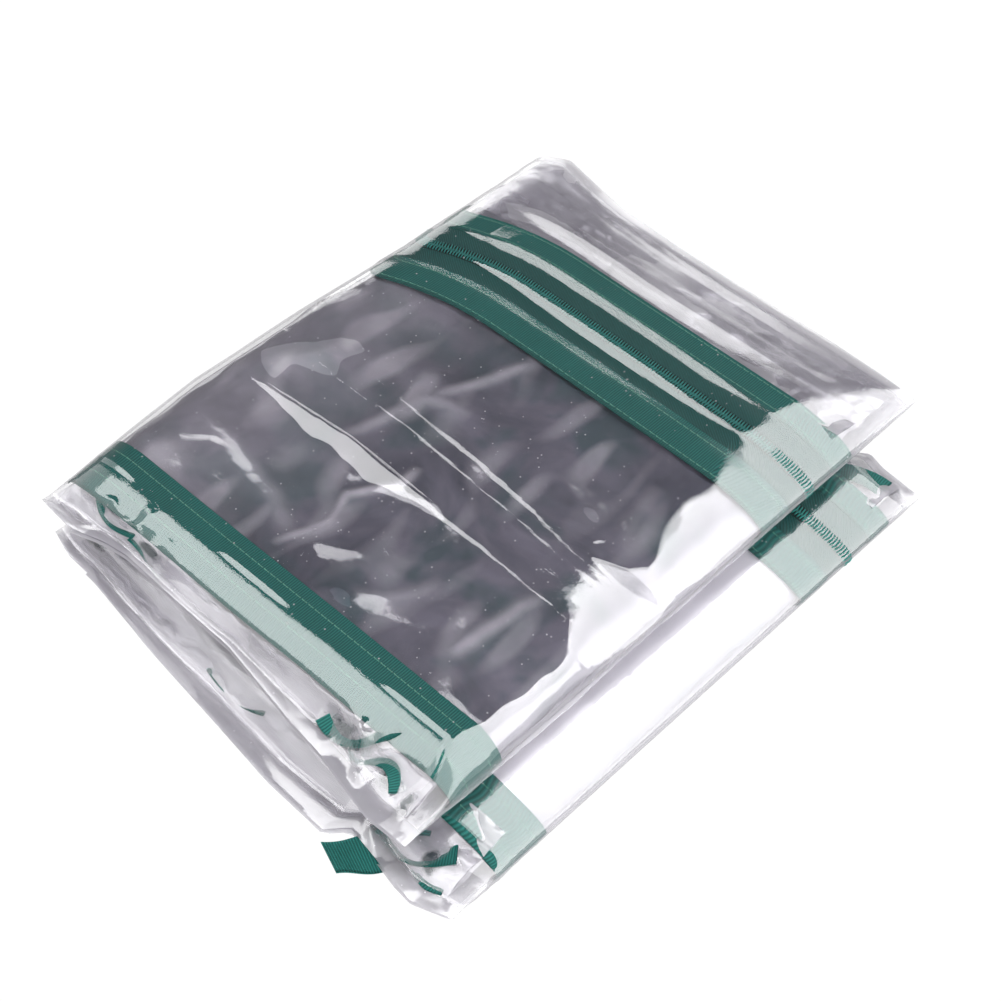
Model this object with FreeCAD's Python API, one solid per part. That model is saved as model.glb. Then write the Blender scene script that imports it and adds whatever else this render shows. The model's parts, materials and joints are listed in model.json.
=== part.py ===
import FreeCAD, Part
import math
import os
from FreeCAD import Vector

# Cover of a mini pop-up greenhouse, folded into a bundle for storage. The flattened cover is
# folded in a zigzag of four leaves: bottom, lower inner, upper inner and top. A nose fold joins
# the bottom and lower inner leaves, the spine fold joins the two inner leaves, and a second
# nose fold joins the upper inner and top leaves. All sizes are in millimetres.
# Each leaf is built lying flat: z = 0 at its rear wall, its door wall on top, noses towards +X.

# Bundle
SPINE_X = -142.0            # tip of the spine fold
LOWER_NOSE_X = 142.0        # tip of the fold that joins the bottom and lower inner leaves
UPPER_NOSE_X = 115.0        # tip of the fold that joins the upper inner and top leaves
TOP_FREE_X = -140.0         # free hem end of the top leaf
BOTTOM_FREE_X = -138.0      # free roof end of the bottom leaf
LOWER_ENDS = (-172.0, 150.0)    # side edges of the lower two leaves
UPPER_ENDS = (-163.5, 182.0)    # side edges of the upper two leaves
LEAF = 13.8                 # thickness of a leaf
PITCH = 14.0                # from one leaf to the next, so that 0.2 mm stays free between them
END_LEAF = 4.5              # thickness of a leaf at its side edges
WALL = 1.5                  # envelope of one outer wall ply
CLEAR = 0.1                 # free space between neighbouring pieces

# Strips across the door wall, from one side edge to the other
SEAM_Y = (-143.0, -112.0)       # binding over the seam of the left wall
DOOR_BINDING_Y = (62.0, 82.0)
ZIP_Y = 97.5                    # centre line of the zip
SURROUND_Y = (114.0, 129.5)     # binding of the door surround
ZIP_BEND_X = -61.0              # on the top leaf the strips leave the straight here
ZIP_BEND_R = 161.0              # radius of the zip's centre line round the door's lower corner
BEND_ANGLE = math.radians(42.0)

# Zip, number 5 nylon coil
COIL_WIDTH = 6.4
COIL_SLIT = 1.0             # the slider's post runs between the two coils
TAPE_DEPTH = (0.5, 1.1)     # zip tape on the outer leaves, below the door wall's surface
COIL_DEPTH = (0.2, 1.5)
INNER_COIL_Z = (7.8, 10.0)  # on the inner leaves the zip lies in a channel that clears its slider
INNER_TAPE_Z = (8.6, 9.2)
CHANNEL_FLOOR_Z = 6.2
CHANNEL_SETBACK = 30.0      # the channel stops this far before the nose, and the zip wraps the nose

# Slider and its pull tab
SLIDER_X = -40.0
SLIDER_LENGTH = 12.0
SLIDER_WIDTH = 9.2
SLIDER_PLATES_Z = ((6.5, 7.5), (10.3, 11.3))
SLIDER_LIP = 0.8            # the side lips leave a slot for the zip tape
SLIDER_LIP_WIDTH = 1.0
POST_WIDTH = 0.6
BRIDGE_Z = (12.3, 13.3)
BRIDGE_SPAN = 8.0
BRIDGE_WIDTH = 1.6
EYE_BAR = 0.8
PULL_LENGTH = 26.0
PULL_WIDTH = 6.0
PULL_Z = (11.45, 12.45)

# Hem bindings round the free ends, and the tail of binding that sticks out of the lower leaves
HEM_INSET = 3.0             # the binding stands clear of the rounded free end by this much
HEM_LENGTH = 12.5
HEM_TAPE = 1.2
HEM_Z = (3.0, 9.4)
TAIL_X = (72.0, 102.0)
TAIL_Y = (-182.0, -172.1)
TAIL_Z = (9.6, 10.8)


def polyline_arc_wire(steps, y):
    """Closed wire at station y. A step is a point (x, z), or an arc (mid, end) of two points."""
    def at(point):
        return Vector(point[0], y, point[1])
    edges = []
    here = steps[0]
    for step in steps[1:] + [steps[0]]:
        if isinstance(step[0], tuple):
            edges.append(Part.Arc(at(here), at(step[0]), at(step[1])).toShape())
            here = step[1]
        else:
            edges.append(Part.LineSegment(at(here), at(step)).toShape())
            here = step
    return Part.Wire(edges)


def on_circle(centre, radius, degrees):
    angle = math.radians(degrees)
    return (centre[0] + radius * math.cos(angle), centre[1] + radius * math.sin(angle))


def arc(centre, radius, start, end):
    """Arc step from angle start to angle end, in degrees, counter-clockwise from +X."""
    return (on_circle(centre, radius, 0.5 * (start + end)), on_circle(centre, radius, end))


def corner_bite(height, inset=WALL):
    """How far the inside of a rounded end stands in from its tip, at one wall's depth."""
    return height - math.sqrt((height - inset) ** 2 - inset ** 2)


def door_band_steps(leaf, height, outer, inner):
    """Section of a ply on the door side, between two depths below its surface."""
    nose = (leaf["nose"] - height, 0.0)
    steps = []
    if leaf["free"] is None:
        left = SPINE_X + corner_bite(height) + CLEAR
        steps = [(left, height - inner), (left, height - outer)]
    else:
        radius = 0.6 * height
        corner = (leaf["free"] + radius, height - radius)
        steps = [(leaf["free"] + inner, 0.0), (leaf["free"] + outer, 0.0),
                 on_circle(corner, radius - outer, 180), arc(corner, radius - outer, 180, 90)]
    steps += [on_circle(nose, height - outer, 90), arc(nose, height - outer, 90, 0),
              on_circle(nose, height - inner, 0), arc(nose, height - inner, 0, 90)]
    if leaf["free"] is not None:
        steps += [on_circle(corner, radius - inner, 90), arc(corner, radius - inner, 90, 180)]
    return steps


def rear_band_steps(leaf, height):
    """Section of the rear wall, which wraps the spine fold of an inner leaf."""
    right = leaf["nose"] - corner_bite(height) - CLEAR
    if leaf["free"] is not None:
        left = leaf["free"] + WALL + CLEAR
        return [(left, 0.0), (right, 0.0), (right, WALL), (left, WALL)]
    spine = (SPINE_X + height, height)
    return [(right, 0.0), (right, WALL), on_circle(spine, height - WALL, 270),
            arc(spine, height - WALL, 270, 180), on_circle(spine, height, 180),
            arc(spine, height, 180, 270)]


def core_steps(leaf, height):
    """Section of the folded plies between the two walls."""
    inset = WALL + CLEAR
    radius = height - inset
    reach = math.sqrt(radius ** 2 - inset ** 2)
    lift = math.degrees(math.asin(inset / radius))
    nose = (leaf["nose"] - height, 0.0)
    steps = [(nose[0], radius), arc(nose, radius, 90, lift)]
    if leaf["free"] is None:
        spine = (SPINE_X + height, height)
        steps += [on_circle(spine, radius, 270), arc(spine, radius, 270, 180 + lift)]
        return steps
    corner_radius = 0.6 * height
    corner = (leaf["free"] + corner_radius, height - corner_radius)
    steps += [(leaf["free"] + inset, inset), on_circle(corner, corner_radius - inset, 180),
              arc(corner, corner_radius - inset, 180, 90)]
    return steps


def loft(steps_at, stations):
    """Ruled solid through sections; steps_at(height) gives one, and a station is (y, height)."""
    wires = [polyline_arc_wire(steps_at(height), y) for y, height in stations]
    return Part.makeLoft(wires, True, True)


def box(x_range, y_range, z_range):
    corner = Vector(x_range[0], y_range[0], z_range[0])
    return Part.makeBox(x_range[1] - x_range[0], y_range[1] - y_range[0],
                        z_range[1] - z_range[0], corner)


def strip(low, high, bent):
    """Upright prism over the strip of the door wall between y = low and y = high."""
    low += 0.5 * CLEAR
    high -= 0.5 * CLEAR
    far = LOWER_NOSE_X + PITCH
    if not bent:
        return box((SPINE_X - PITCH, far), (low, high), (-PITCH, 2 * PITCH))
    centre_y = ZIP_Y - ZIP_BEND_R

    def at(y, angle):
        reach = y - centre_y
        return Vector(ZIP_BEND_X - reach * math.sin(angle), centre_y + reach * math.cos(angle), -PITCH)
    edges = [
        Part.LineSegment(Vector(far, low, -PITCH), at(low, 0)).toShape(),
        Part.Arc(at(low, 0), at(low, 0.5 * BEND_ANGLE), at(low, BEND_ANGLE)).toShape(),
        Part.LineSegment(at(low, BEND_ANGLE), at(high, BEND_ANGLE)).toShape(),
        Part.Arc(at(high, BEND_ANGLE), at(high, 0.5 * BEND_ANGLE), at(high, 0)).toShape(),
        Part.LineSegment(at(high, 0), Vector(far, high, -PITCH)).toShape(),
        Part.LineSegment(Vector(far, high, -PITCH), Vector(far, low, -PITCH)).toShape(),
    ]
    return Part.Face(Part.Wire(edges)).extrude(Vector(0, 0, 3 * PITCH))


def door_side_ply(leaf, depths, stations):
    return loft(lambda height: door_band_steps(leaf, height, *depths), stations)


def walls_and_bindings(leaf):
    """The door wall, strip by strip, and the rear wall."""
    low, high = leaf["ends"]
    bent = leaf["bent"]
    depths = (0.0, WALL)
    middle = door_side_ply(leaf, depths, [(SEAM_Y[1], LEAF), (SURROUND_Y[1], LEAF)])
    right = door_side_ply(leaf, depths, [(ZIP_Y, LEAF), (SURROUND_Y[1], LEAF), (high, END_LEAF)])
    inboard = strip(SEAM_Y[1], SURROUND_Y[1] + CLEAR, bent)
    above_panel = strip(DOOR_BINDING_Y[0] - CLEAR, SURROUND_Y[1] + PITCH, bent)
    panel_box = strip(SEAM_Y[1], DOOR_BINDING_Y[0], False)
    rear = loft(lambda height: rear_band_steps(leaf, height),
                [(low, END_LEAF), (SEAM_Y[0], LEAF), (SURROUND_Y[1], LEAF), (high, END_LEAF)])
    return {
        "left_wall": door_side_ply(leaf, depths, [(low, END_LEAF), (SEAM_Y[0] - CLEAR, LEAF)]),
        "seam_binding": door_side_ply(leaf, depths, [(SEAM_Y[0], LEAF), (SEAM_Y[1] - CLEAR, LEAF)]),
        "door_panel": middle.common(panel_box).cut(above_panel) if bent else middle.common(panel_box),
        "door_binding": middle.common(strip(*DOOR_BINDING_Y, bent)),
        "surround_binding": middle.common(strip(*SURROUND_Y, bent)),
        "right_wall": right.cut(inboard),
        "rear_wall": rear,
    }


def folded_plies(leaf):
    """The side walls and roof, folded in between the door wall and the rear wall."""
    low, high = leaf["ends"]
    left = loft(lambda height: core_steps(leaf, height),
                [(low, END_LEAF), (SEAM_Y[0], LEAF), (DOOR_BINDING_Y[1], LEAF)])
    backing = loft(lambda height: core_steps(leaf, height),
                   [(DOOR_BINDING_Y[1] + CLEAR, LEAF), (SURROUND_Y[0] - CLEAR, LEAF)])
    right = loft(lambda height: core_steps(leaf, height),
                 [(SURROUND_Y[0], LEAF), (SURROUND_Y[1], LEAF), (high, END_LEAF)])
    if leaf["channel"]:
        channel = box((SPINE_X, leaf["nose"] - CHANNEL_SETBACK), leaf["ends"], (CHANNEL_FLOOR_Z, LEAF))
        backing = backing.cut(channel)
    return {"left_gusset": left, "zip_backing": backing, "right_gusset": right}


def zip_strips():
    """Y ranges of the two zip tapes and of the two coils."""
    tapes = [(DOOR_BINDING_Y[1], ZIP_Y - 0.5 * COIL_WIDTH), (ZIP_Y + 0.5 * COIL_WIDTH, SURROUND_Y[0])]
    coils = [(ZIP_Y - 0.5 * COIL_WIDTH, ZIP_Y - 0.5 * COIL_SLIT),
             (ZIP_Y + 0.5 * COIL_SLIT, ZIP_Y + 0.5 * COIL_WIDTH)]
    return tapes, coils


def surface_zip(leaf):
    """Tapes and coils that lie in the door wall's surface and wrap the nose with it."""
    tapes, coils = zip_strips()
    span = [(ZIP_Y - 2 * SLIDER_WIDTH - PITCH, LEAF), (SURROUND_Y[0], LEAF)]
    tape_ply = door_side_ply(leaf, TAPE_DEPTH, span)
    coil_ply = door_side_ply(leaf, COIL_DEPTH, span)
    return ([tape_ply.common(strip(*y, leaf["bent"])) for y in tapes],
            [coil_ply.common(strip(*y, leaf["bent"])) for y in coils])


def zip_of(leaf):
    """On an inner leaf the zip drops into the channel, and only its nose lies in the surface."""
    tape_solids, coil_solids = surface_zip(leaf)
    if leaf["channel"]:
        tapes, coils = zip_strips()
        end_x = leaf["nose"] - CHANNEL_SETBACK
        nose = box((end_x, leaf["nose"]), leaf["ends"], (-CLEAR, LEAF))
        x_range = (SPINE_X + LEAF, end_x - CLEAR)
        tape_solids = [solid.common(nose) for solid in tape_solids]
        tape_solids += [box(x_range, (low + CLEAR, high - CLEAR), INNER_TAPE_Z) for low, high in tapes]
        coil_solids = [solid.common(nose) for solid in coil_solids]
        coil_solids += [box(x_range, y, INNER_COIL_Z) for y in coils]
    return {"zip_tapes": Part.Compound(tape_solids), "zip_coils": Part.Compound(coil_solids)}


def hem_binding(leaf):
    """Tape folded round the hem, inside the free end, and the room that the plies leave for it."""
    y_range = (SEAM_Y[0], SURROUND_Y[1])
    left = leaf["free"] + HEM_INSET
    outer = box((left, left + HEM_LENGTH), y_range, HEM_Z)
    slot_z = (HEM_Z[0] + HEM_TAPE, HEM_Z[1] - HEM_TAPE)
    slot = box((left + HEM_TAPE, left + HEM_LENGTH), y_range, slot_z)
    tongue = box((left + HEM_TAPE + CLEAR, left + HEM_LENGTH + 2 * CLEAR), y_range,
                 (slot_z[0] + CLEAR, slot_z[1] - CLEAR))
    room = box((leaf["free"], left + HEM_LENGTH + CLEAR), (y_range[0] - CLEAR, y_range[1] + CLEAR),
               (HEM_Z[0] - CLEAR, HEM_Z[1] + CLEAR))
    return outer.cut(slot), room.cut(tongue)


def slider_body():
    half = 0.5 * SLIDER_LENGTH
    x_range = (SLIDER_X - half, SLIDER_X + half)
    y_range = (ZIP_Y - 0.5 * SLIDER_WIDTH, ZIP_Y + 0.5 * SLIDER_WIDTH)
    lower, upper = SLIDER_PLATES_Z
    pieces = [box(x_range, y_range, lower), box(x_range, y_range, upper)]
    for y in (y_range[0], y_range[1] - SLIDER_LIP_WIDTH):
        lip_y = (y, y + SLIDER_LIP_WIDTH)
        pieces.append(box(x_range, lip_y, (lower[1], lower[1] + SLIDER_LIP)))
        pieces.append(box(x_range, lip_y, (upper[0] - SLIDER_LIP, upper[0])))
    post_y = (ZIP_Y - 0.5 * POST_WIDTH, ZIP_Y + 0.5 * POST_WIDTH)
    pieces.append(box((x_range[1] - 3.0, x_range[1]), post_y, (lower[1], upper[0])))
    bridge_y = (ZIP_Y - 0.5 * BRIDGE_WIDTH, ZIP_Y + 0.5 * BRIDGE_WIDTH)
    bridge_x = (SLIDER_X - 0.5 * BRIDGE_SPAN, SLIDER_X + 0.5 * BRIDGE_SPAN)
    pieces.append(box(bridge_x, bridge_y, BRIDGE_Z))
    for x in (bridge_x[0], bridge_x[1] - BRIDGE_WIDTH):
        pieces.append(box((x, x + BRIDGE_WIDTH), bridge_y, (upper[1], BRIDGE_Z[0])))
    return pieces[0].multiFuse(pieces[1:]).removeSplitter()


def pull_tab():
    """Tab with an eye: a bar under the slider's bridge, two arms past it and a flat grip."""
    half = 0.5 * PULL_WIDTH
    bar_x = (SLIDER_X - 0.5 * EYE_BAR, SLIDER_X + 0.5 * EYE_BAR)
    y_range = (ZIP_Y - half, ZIP_Y + half)
    bar = box(bar_x, y_range, (PULL_Z[0], PULL_Z[0] + 0.5 * EYE_BAR + 0.35))
    neck = SLIDER_X - 0.5 * BRIDGE_SPAN - 0.6
    grip = box((SLIDER_X - PULL_LENGTH, neck), y_range, PULL_Z)
    arms = [box((neck, bar_x[1]), (y, y + 1.5), PULL_Z) for y in (y_range[0], y_range[1] - 1.5)]
    tab = grip.multiFuse([bar] + arms).removeSplitter()
    end_edges = [edge for edge in tab.Edges
                 if abs(edge.CenterOfMass.x - (SLIDER_X - PULL_LENGTH)) < CLEAR
                 and abs(edge.tangentAt(edge.FirstParameter).z) > 0.5]
    return tab.makeFillet(0.4 * PULL_WIDTH, end_edges)


LEAVES = {
    "bottom": {"level": 0, "door_up": False, "nose": LOWER_NOSE_X, "free": BOTTOM_FREE_X,
               "ends": LOWER_ENDS, "bent": False, "channel": False},
    "lower_inner": {"level": 1, "door_up": True, "nose": LOWER_NOSE_X, "free": None,
                    "ends": LOWER_ENDS, "bent": False, "channel": True},
    "upper_inner": {"level": 2, "door_up": False, "nose": UPPER_NOSE_X, "free": None,
                    "ends": UPPER_ENDS, "bent": False, "channel": True},
    "top": {"level": 3, "door_up": True, "nose": UPPER_NOSE_X, "free": TOP_FREE_X,
            "ends": UPPER_ENDS, "bent": True, "channel": False},
}


def place(shape, leaf):
    """Lift a flat leaf's piece to its level, and turn it over where the door side faces down."""
    if not leaf["door_up"]:
        shape = shape.mirror(Vector(0, 0, 0.5 * LEAF), Vector(0, 0, 1))
    shape.translate(Vector(0, 0, leaf["level"] * PITCH))
    return shape


def build_leaf(name, leaf):
    pieces = walls_and_bindings(leaf)
    pieces.update(folded_plies(leaf))
    pieces.update(zip_of(leaf))
    if leaf["free"] is not None:
        pieces["hem_binding"], room = hem_binding(leaf)
        for ply in ("left_gusset", "zip_backing", "right_gusset"):
            pieces[ply] = pieces[ply].cut(room)
    return {name + "_" + piece: place(shape, leaf) for piece, shape in pieces.items()}


def build():
    nodes = {}
    for name, leaf in LEAVES.items():
        nodes.update(build_leaf(name, leaf))
    nodes["zip_slider"] = place(slider_body(), LEAVES["lower_inner"])
    nodes["zip_pull_tab"] = place(pull_tab(), LEAVES["lower_inner"])
    nodes["binding_tail"] = box(TAIL_X, TAIL_Y, TAIL_Z)
    return nodes


os.makedirs("parts", exist_ok=True)
for node, solid in build().items():
    if not solid.isValid() or solid.Volume <= 0:
        raise ValueError(node + " is not a valid solid")
    solid.exportStep(os.path.join("parts", node + ".step"))
    bounds = solid.BoundBox
    print("%-30s %2d solids, x %7.1f %7.1f  y %7.1f %7.1f  z %5.1f %5.1f" % (
        node, len(solid.Solids), bounds.XMin, bounds.XMax, bounds.YMin, bounds.YMax,
        bounds.ZMin, bounds.ZMax))
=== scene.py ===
import json
import math

import bpy
import numpy as np
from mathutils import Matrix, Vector


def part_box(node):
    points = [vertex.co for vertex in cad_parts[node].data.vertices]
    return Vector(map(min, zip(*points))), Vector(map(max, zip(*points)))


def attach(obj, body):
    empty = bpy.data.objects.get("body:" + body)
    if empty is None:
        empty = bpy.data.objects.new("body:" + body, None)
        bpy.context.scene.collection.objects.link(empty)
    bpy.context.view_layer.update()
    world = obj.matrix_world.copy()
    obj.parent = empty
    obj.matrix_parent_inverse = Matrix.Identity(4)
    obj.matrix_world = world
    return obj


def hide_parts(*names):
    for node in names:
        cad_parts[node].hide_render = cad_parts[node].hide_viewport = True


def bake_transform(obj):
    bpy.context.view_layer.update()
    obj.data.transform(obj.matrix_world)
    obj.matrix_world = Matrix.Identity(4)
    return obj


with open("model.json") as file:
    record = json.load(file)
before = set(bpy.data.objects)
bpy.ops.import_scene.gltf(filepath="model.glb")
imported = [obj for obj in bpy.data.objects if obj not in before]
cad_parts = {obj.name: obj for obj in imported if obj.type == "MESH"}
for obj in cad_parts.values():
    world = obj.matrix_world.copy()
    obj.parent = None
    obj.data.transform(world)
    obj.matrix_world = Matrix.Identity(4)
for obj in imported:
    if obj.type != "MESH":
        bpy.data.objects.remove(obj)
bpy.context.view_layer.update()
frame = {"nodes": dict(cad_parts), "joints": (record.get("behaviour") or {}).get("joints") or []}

MM = 0.001                      # sizes below are in millimetres; meshes are built in metres
JOINTS = {joint["name"]: joint for joint in frame["joints"]}

# ---- sizes taken from the frame


def node_span(node, axis):
    """Lowest and highest coordinate of a CAD node along an axis (0, 1 or 2), in millimetres."""
    low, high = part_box(node)
    return low[axis] / MM, high[axis] / MM


def joint_point(name):
    return [value / MM for value in JOINTS[name]["pos_m"]]


UPPER = {
    "name": "upper", "plane": joint_point("upper_fold")[2], "nose": joint_point("upper_fold")[0],
    "spine": node_span("top_left_wall", 0)[0], "under_spine": node_span("upper_inner_rear_wall", 0)[0],
    "ends": (node_span("top_left_wall", 1)[0], node_span("top_right_wall", 1)[1]),
    "height": node_span("top_door_panel", 2)[1] - joint_point("upper_fold")[2],
    "bodies": ("top_leaf", "upper_inner_leaf"), "leaves": ("top", "upper_inner"),
}
LOWER = {
    "name": "lower", "plane": joint_point("lower_fold")[2], "nose": joint_point("lower_fold")[0],
    "spine": node_span("lower_inner_rear_wall", 0)[0], "under_spine": node_span("bottom_left_wall", 0)[0],
    "ends": (node_span("bottom_left_wall", 1)[0], node_span("bottom_right_wall", 1)[1]),
    "height": joint_point("lower_fold")[2],
    "bodies": ("lower_inner_leaf", "bottom_leaf"), "leaves": ("lower_inner", "bottom"),
}
SPINE = joint_point("spine_fold")
SEAM = node_span("bottom_seam_binding", 1)
DOOR = node_span("bottom_door_binding", 1)
SURROUND = node_span("bottom_surround_binding", 1)
ZIP_Y = 0.5 * sum(node_span("bottom_zip_coils", 1))
ZIP_BEND_X = -61.0              # on the top leaf the strips leave the straight here
ZIP_BEND_R = 161.0              # radius of their bend

CHANNEL_DEPTH = 4.0             # channel of the inner leaves that clears the slider
CHANNEL_EXTRA = 1.9             # what lies below the zip tapes gives way by this much more
NOSE_REACH = 26.0               # nominal length over which the film rolls over the nose
SPINE_REACH = 24.0              # the same at the spine
ROLL_POWER = 1.35               # below 2 the roll starts gently and ends steeply
ROLL_SEEN = 0.3                 # share of the roll after which its slope takes the light
RIGHT_START = 128.0             # from here the film slopes down to the right side edge
FOLD_GAP = 1.6                  # plies stay this far from the fold plane, except at the nose

# Where the film turns down over the nose: (y, x) along the packet
UPPER["turn"] = [(-165, 104), (-115, 104), (-70, 109), (-58, 106), (-26, 84), (-13, 80), (-5, 97), (3, 101),
                 (30, 92), (60, 92), (85, 86), (125, 88), (150, 90), (182, 108)]
LOWER["turn"] = [(-172, 118), (-140, 110), (150, 104)]

# Left side end: where the film starts to slope down, its curve, the knee, and the slope beyond it
UPPER["left_fall"] = (-126.0, 0.0125, SEAM[0], 0.62)
LOWER["left_fall"] = (-138.0, 0.020, -158.0, 0.80)
# Height lost at the right side edge: (x, share) along it
UPPER["right_fall"] = [(-140, 0.30), (-95, 0.62), (-40, 0.80), (115, 0.80)]
LOWER["right_fall"] = [(-140, 0.80), (142, 0.80)]

# Side edges and spine as they lie: (x, y) along each side edge, (y, bow) along the spine
UPPER["right_edge"] = [(-150, 172), (-139, 178), (-122, 186), (-99, 183), (-76, 180), (0, 179), (60, 180),
                       (92, 180), (116, 179)]
UPPER["left_edge"] = [(-150, -152), (-140, -158), (-118, -160), (-100, -154), (-87, -152), (-60, -153),
                      (-14, -154), (35, -162), (60, -165), (93, -172), (116, -171)]
LOWER["right_edge"] = [(-150, 150), (0, 150), (60, 152), (96, 149), (108, 158), (118, 155), (144, 153)]
LOWER["left_edge"] = [(-150, -152), (-140, -155), (-127, -159), (-107, -160), (-53, -168), (-8, -173),
                      (35, -178), (71, -179), (79, -170), (98, -173), (112, -176), (123, -177), (144, -170)]
UPPER["bow"] = [(-170, 2), (-138, 2), (-60, 8), (11, 6), (79, 1), (182, 0)]
LOWER["bow"] = [(-170, 1), (-60, 4), (60, 3), (150, 0)]

# ---- fields over the film


def follow(pairs, places):
    """Values read off a list of (place, value) pairs."""
    return np.interp(places, *zip(*pairs))


def smooth(value, low, high):
    """0 below low, 1 above high, and a smooth step between them."""
    t = np.clip((value - low) / (high - low), 0.0, 1.0)
    return t * t * (3.0 - 2.0 * t)


def ripple(s, y, length_s, length_y, seed, waves=14):
    """Smooth random undulation between about -1 and 1, with its own wavelengths along s and y."""
    random = np.random.RandomState(seed)
    total = np.zeros(np.broadcast(s, y).shape)
    for _ in range(waves):
        angle = random.uniform(0, 2 * math.pi)
        size = random.uniform(0.55, 1.5)
        phase = random.uniform(0, 2 * math.pi)
        total += np.cos(2 * math.pi * size * (math.cos(angle) * s / length_s
                                               + math.sin(angle) * y / length_y) + phase)
    return total * math.sqrt(2.0 / waves) / 1.6


def nearest_squared(s, y, seeds):
    best = np.full(np.broadcast(s, y).shape, 1e9)
    for seed_s, seed_y in seeds:
        best = np.minimum(best, (s - seed_s) ** 2 + (y - seed_y) ** 2)
    return best


def crumple(s, y, cell, slope, seed, stretch=1.0):
    """Flat facets that meet in straight creases: the difference of two facetings of one bowl."""
    random = np.random.RandomState(seed)
    s = s / stretch
    span_s = (float(np.min(s)) - cell, float(np.max(s)) + cell)
    span_y = (float(np.min(y)) - cell, float(np.max(y)) + cell)
    count = int((span_s[1] - span_s[0]) * (span_y[1] - span_y[0]) / cell ** 2) + 2
    layers = []
    for _ in range(2):
        seeds = np.column_stack([random.uniform(*span_s, count), random.uniform(*span_y, count)])
        layers.append(nearest_squared(s, y, seeds))
    return slope * (layers[0] - layers[1]) / (2.0 * cell)


def line_field(s, y, points, width, taper=12.0):
    """1 on a polyline, falling off over width, and fading over the taper at both ends."""
    best = np.full(np.broadcast(s, y).shape, 1e9)
    along = np.zeros_like(best)
    done = 0.0
    for (s0, y0), (s1, y1) in zip(points[:-1], points[1:]):
        ds, dy = s1 - s0, y1 - y0
        length = math.hypot(ds, dy)
        t = np.clip(((s - s0) * ds + (y - y0) * dy) / length ** 2, 0, 1)
        distance = np.hypot(s - s0 - t * ds, y - y0 - t * dy)
        nearer = distance < best
        best = np.where(nearer, distance, best)
        along = np.where(nearer, done + t * length, along)
        done += length
    fade = np.clip(along / taper, 0, 1) * np.clip((done - along) / taper, 0, 1)
    return np.exp(-(best / width) ** 2) * np.sqrt(fade)


def bend_shift(x):
    """How far the zip and its tapes swing towards -Y near the spine on the top leaf."""
    beyond = np.clip(ZIP_BEND_X - x, 0, 0.6 * ZIP_BEND_R)
    return ZIP_BEND_R - np.sqrt(ZIP_BEND_R ** 2 - beyond ** 2)


# ---- shape of a packet


def section_path(packet, steps):
    """Section of a packet's skin: over the top from the spine end, round the nose and back below.

    Returns for each step the x of the flat part, the reach beyond it, the height factor (-1 to 1)
    and s, the unrolled coordinate, which equals x on the flat top.
    """
    flat_end = packet["nose"] - NOSE_REACH
    flat_start = packet["spine"] + SPINE_REACH
    under_start = packet["under_spine"] + SPINE_REACH
    arc = 0.5 * math.pi * math.sqrt(0.5 * (NOSE_REACH ** 2 + packet["height"] ** 2))
    back_arc = 0.5 * math.pi * math.sqrt(0.5 * (SPINE_REACH ** 2 + packet["height"] ** 2))
    rows = []
    for t in np.linspace(0, 1, steps["spine"], endpoint=False):
        angle = math.pi * (1.0 - 0.5 * t) - 1e-3
        rows.append((flat_start, SPINE_REACH * math.cos(angle), math.sin(angle),
                     flat_start - back_arc * (1 - t)))
    for x in np.linspace(flat_start, flat_end, steps["top"], endpoint=False):
        rows.append((x, 0.0, 1.0, x))
    for t in np.linspace(0, 1, steps["nose"], endpoint=False):
        angle = math.pi * (0.5 - t)
        level = math.sin(angle) if angle < 0 else math.sqrt(max(0.0, 1 - math.cos(angle) ** ROLL_POWER))
        rows.append((flat_end, NOSE_REACH * math.cos(angle), level, flat_end + 2 * arc * t))
    for x in np.linspace(flat_end, under_start, steps["under"]):
        rows.append((x, 0.0, -1.0, 2 * flat_end + 2 * arc - x))
    return np.array(rows)


def end_profile(packet, x, y):
    """Height factor across the packet: full in the middle, lower towards the two side edges."""
    low, high = packet["ends"]
    start, curve, knee, slope = packet["left_fall"]
    left = np.clip(start - y, 0, start - knee)
    drop = curve * left ** 2 + slope * (1 + 0.2 * np.sin(x / 23.0)) * np.clip(knee - y, 0, None)
    tucked = smooth(low - y, -2.2, 0.2)
    right = np.clip((y - RIGHT_START) / (high - RIGHT_START), 0, 1)
    lost = follow(packet["right_fall"], x) * right ** 1.35
    level = 1 - drop / packet["height"] - lost + 0.05 * np.sin(x / 17.0) * (left > 0)
    return np.maximum(level * (1 - tucked) + 0.13 * tucked, 0.13)


def lay_out(packet, x, y):
    """Moves the straight outline to the one the packet really has."""
    low, high = packet["ends"]
    right = follow(packet["right_edge"], x)
    left = follow(packet["left_edge"], x)
    pulled = RIGHT_START + (y - RIGHT_START) * (right - RIGHT_START) / (high - RIGHT_START)
    y = np.where(y > RIGHT_START, pulled, y)
    pulled = SEAM[0] + (y - SEAM[0]) * (left - SEAM[0]) / (low - SEAM[0])
    y = np.where(y < SEAM[0], pulled, y)
    bow = follow(packet["bow"], y)
    return x - bow * (1 - smooth(x, packet["spine"], packet["spine"] + 90)), y


def nose_reach(packet, y):
    """Length of the roll at each y, so that its slope takes the light from the line turn on."""
    turn = follow(packet["turn"], y) + 1.2 * np.sin(y / 5.3) * np.sin(y / 13.0 + 1)
    return (packet["nose"] - turn) / (1 - ROLL_SEEN)


def nose_shift(packet, path, y):
    """How far the points of the flat part give way to the roll at each y."""
    x_flat = path[:, 0][:, None]
    flat_end = packet["nose"] - NOSE_REACH
    return (NOSE_REACH - nose_reach(packet, y[None, :])) * smooth(x_flat, flat_end - 90, flat_end)


def unrolled(packet, path, y):
    """Coordinate along the film from spine to nose and back below; equals x on the flat top."""
    return path[:, 3][:, None] + nose_shift(packet, path, y)


def inner_side(packet, factor):
    """1 on the side of a packet that faces the other packet, 0 on its outer side."""
    return np.clip(-factor if packet is UPPER else factor, 0, 1)


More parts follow.
